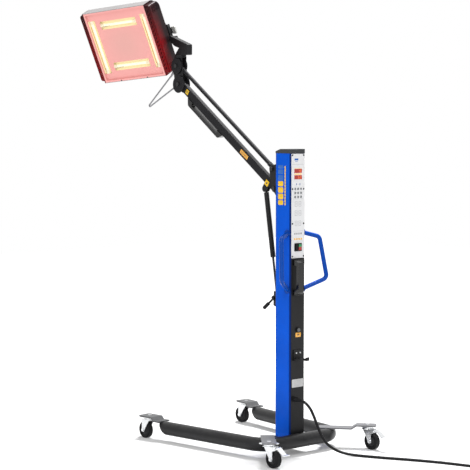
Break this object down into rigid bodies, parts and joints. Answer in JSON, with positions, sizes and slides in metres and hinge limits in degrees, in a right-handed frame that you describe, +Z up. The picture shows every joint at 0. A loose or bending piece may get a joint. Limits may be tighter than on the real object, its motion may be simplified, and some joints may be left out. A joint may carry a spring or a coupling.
{
  "type": "infrared paint curing lamp",
  "caption": "Square infrared curing lamp head on a counterbalanced lifting arm, carried by a control column on a wheeled U-shaped base.",
  "frame": {"origin": "on the floor below the middle of the lamp's box, without its cord", "axes": "+X from the column towards the lamp head, +Y towards the side the lamp faces, +Z up"},
  "size_m": [2.1063, 0.8853, 1.9795],
  "materials": {
    "blue_paint": "gloss powder coat",
    "black_paint": "satin powder coat",
    "dark_grey_paint": "fine textured powder coat",
    "white_panel": "satin printed sheet",
    "black_plastic": "fine grained",
    "grey_plastic": "smooth",
    "window_red": "clear tinted",
    "lens_orange": "clear tinted",
    "key_grey": "smooth foil",
    "button_green": "smooth",
    "button_red": "smooth",
    "zinc_steel": "zinc plated",
    "bright_steel": "polished",
    "wheel_rubber": "matt",
    "reflector": "satin, lit pink by the lamps",
    "shell_alloy": "satin sheet",
    "quartz": "clear, glowing",
    "ceramic": "glazed",
    "board_green": "solder mask",
    "module_alloy": "milled",
    "cord_rubber": "matt"
  },
  "bodies": {
    "stand": {"base_tube": "black_paint", "front_caster_plates": "dark_grey_paint", "rear_caster_bars": "dark_grey_paint", "swivel_plates": "zinc_steel", "column_foot": "black_paint", "column_shell": "blue_paint", "column_cap": "black_plastic", "control_panel": "white_panel", "number_windows": "window_red", "pilot_lamps": "lens_orange", "key_pad": "key_grey", "switch_housing": "black_plastic", "lower_panel": "black_paint", "pull_grip": "black_plastic", "reset_collar": "black_plastic", "column_screws": "zinc_steel", "cable_hook": "black_paint", "cable_gland": "black_plastic", "side_handles": "blue_paint", "control_board": "board_green", "power_unit": "module_alloy", "arm_bracket": "black_paint", "bracket_bolts": "zinc_steel", "spring_foot": "black_paint", "cord_lead": "cord_rubber", "cord_coil": "cord_rubber", "cord_tail": "cord_rubber", "cord_plug": "cord_rubber"},
    "start_button": {"start_button": "button_green"},
    "stop_button": {"stop_button": "button_red"},
    "reset_button": {"reset_button": "zinc_steel"},
    "lock_lever": {"lock_lever": "black_plastic"},
    "arm": {"arm_tube": "dark_grey_paint", "arm_grip": "black_plastic"},
    "parallel_rod": {"parallel_rod": "dark_grey_paint"},
    "gas_cylinder": {"gas_cylinder": "black_paint"},
    "gas_rod": {"gas_rod": "bright_steel"},
    "link": {"link_cheeks": "black_paint", "link_discs": "dark_grey_paint", "link_bolts": "zinc_steel", "wire_handle": "zinc_steel"},
    "swivel": {"swivel_bracket": "black_paint"},
    "head": {"tilt_clamp": "bright_steel", "head_hinge": "black_paint", "back_shell": "shell_alloy", "head_end_caps": "black_plastic", "reflector_tray": "reflector", "infrared_lamps": "quartz", "lamp_holders": "ceramic"},
    "front_near_fork": {"front_near_fork": "zinc_steel"},
    "front_far_fork": {"front_far_fork": "zinc_steel"},
    "rear_near_fork": {"rear_near_fork": "zinc_steel"},
    "rear_far_fork": {"rear_far_fork": "zinc_steel"},
    "front_near_wheel": {"front_near_wheel": "wheel_rubber"},
    "front_far_wheel": {"front_far_wheel": "wheel_rubber"},
    "rear_near_wheel": {"rear_near_wheel": "wheel_rubber"},
    "rear_far_wheel": {"rear_far_wheel": "wheel_rubber"},
    "rear_near_pedal": {"rear_near_pedal": "zinc_steel"},
    "rear_far_pedal": {"rear_far_pedal": "zinc_steel"}
  },
  "joints": [
    {"name": "arm_lift", "type": "hinge", "parent": "stand", "child": "arm", "pos_m": [-0.36575, 0, 1.136], "axis": [0, -1, 0], "range_deg": [-34, 24]},
    {"name": "rod_pivot", "type": "hinge", "parent": "stand", "child": "parallel_rod", "pos_m": [-0.35075, 0, 1.22], "axis": [0, -1, 0], "range_deg": [-35, 25]},
    {"name": "link_level", "type": "hinge", "parent": "arm", "child": "link", "pos_m": [0.28325, 0, 1.595], "axis": [0, -1, 0], "range_deg": [-25, 35]},
    {"name": "spring_pivot", "type": "hinge", "parent": "arm", "child": "gas_cylinder", "pos_m": [-0.29675, 0, 1.133], "axis": [0, -1, 0], "range_deg": [-25, 35]},
    {"name": "spring_stroke", "type": "slide", "parent": "gas_cylinder", "child": "gas_rod", "axis": [-0.1543, 0, -0.988], "range_m": [-0.0403, 0.0288]},
    {"name": "head_swivel", "type": "hinge", "parent": "link", "child": "swivel", "pos_m": [0.29125, 0, 1.722], "axis": [0, 0, 1], "range_deg": [-80, 60]},
    {"name": "head_tilt", "type": "hinge", "parent": "swivel", "child": "head", "pos_m": [0.36445, -0.01393, 1.8071], "axis": [-0.9535, -0.288, 0.089], "range_deg": [-30, 45]},
    {"name": "lever_pivot", "type": "hinge", "parent": "stand", "child": "lock_lever", "pos_m": [-0.37075, 0, 0.663], "axis": [0, -1, 0], "range_deg": [0, 45]},
    {"name": "start_press", "type": "slide", "parent": "stand", "child": "start_button", "axis": [1, 0, 0], "range_m": [0, 0.003], "stiffness_N_per_m": 500, "springref_m": -0.002},
    {"name": "stop_press", "type": "slide", "parent": "stand", "child": "stop_button", "axis": [1, 0, 0], "range_m": [0, 0.003], "stiffness_N_per_m": 500, "springref_m": -0.002},
    {"name": "reset_press", "type": "slide", "parent": "stand", "child": "reset_button", "axis": [1, 0, 0], "range_m": [0, 0.003], "stiffness_N_per_m": 500, "springref_m": -0.002},
    {"name": "front_near_swivel", "type": "hinge", "parent": "stand", "child": "front_near_fork", "pos_m": [0.16125, 0.289, 0.09], "axis": [0, 0, 1], "continuous": true},
    {"name": "front_near_roll", "type": "hinge", "parent": "front_near_fork", "child": "front_near_wheel", "pos_m": [0.18925, 0.289, 0.0375], "axis": [0, 1, 0], "continuous": true},
    {"name": "front_far_swivel", "type": "hinge", "parent": "stand", "child": "front_far_fork", "pos_m": [0.16125, -0.289, 0.09], "axis": [0, 0, 1], "continuous": true},
    {"name": "front_far_roll", "type": "hinge", "parent": "front_far_fork", "child": "front_far_wheel", "pos_m": [0.18925, -0.289, 0.0375], "axis": [0, 1, 0], "continuous": true},
    {"name": "rear_near_swivel", "type": "hinge", "parent": "stand", "child": "rear_near_fork", "pos_m": [-0.63875, 0.29, 0.09], "axis": [0, 0, 1], "continuous": true},
    {"name": "rear_near_roll", "type": "hinge", "parent": "rear_near_fork", "child": "rear_near_wheel", "pos_m": [-0.66675, 0.29, 0.0375], "axis": [0, 1, 0], "continuous": true},
    {"name": "rear_near_brake", "type": "hinge", "parent": "rear_near_fork", "child": "rear_near_pedal", "pos_m": [-0.68875, 0.29, 0.083], "axis": [0, -1, 0], "range_deg": [0, 10]},
    {"name": "rear_far_swivel", "type": "hinge", "parent": "stand", "child": "rear_far_fork", "pos_m": [-0.63875, -0.29, 0.09], "axis": [0, 0, 1], "continuous": true},
    {"name": "rear_far_roll", "type": "hinge", "parent": "rear_far_fork", "child": "rear_far_wheel", "pos_m": [-0.66675, -0.29, 0.0375], "axis": [0, 1, 0], "continuous": true},
    {"name": "rear_far_brake", "type": "hinge", "parent": "rear_far_fork", "child": "rear_far_pedal", "pos_m": [-0.68875, -0.29, 0.083], "axis": [0, -1, 0], "range_deg": [0, 10]}
  ],
  "couplings": [
    {"joint": "rod_pivot", "follows": "arm_lift", "ratio": 1},
    {"joint": "link_level", "follows": "arm_lift", "ratio": -1},
    {"joint": "spring_pivot", "follows": "arm_lift", "ratio": -1},
    {"joint": "spring_stroke", "follows": "arm_lift", "m_per_rad": 0.066}
  ]
}
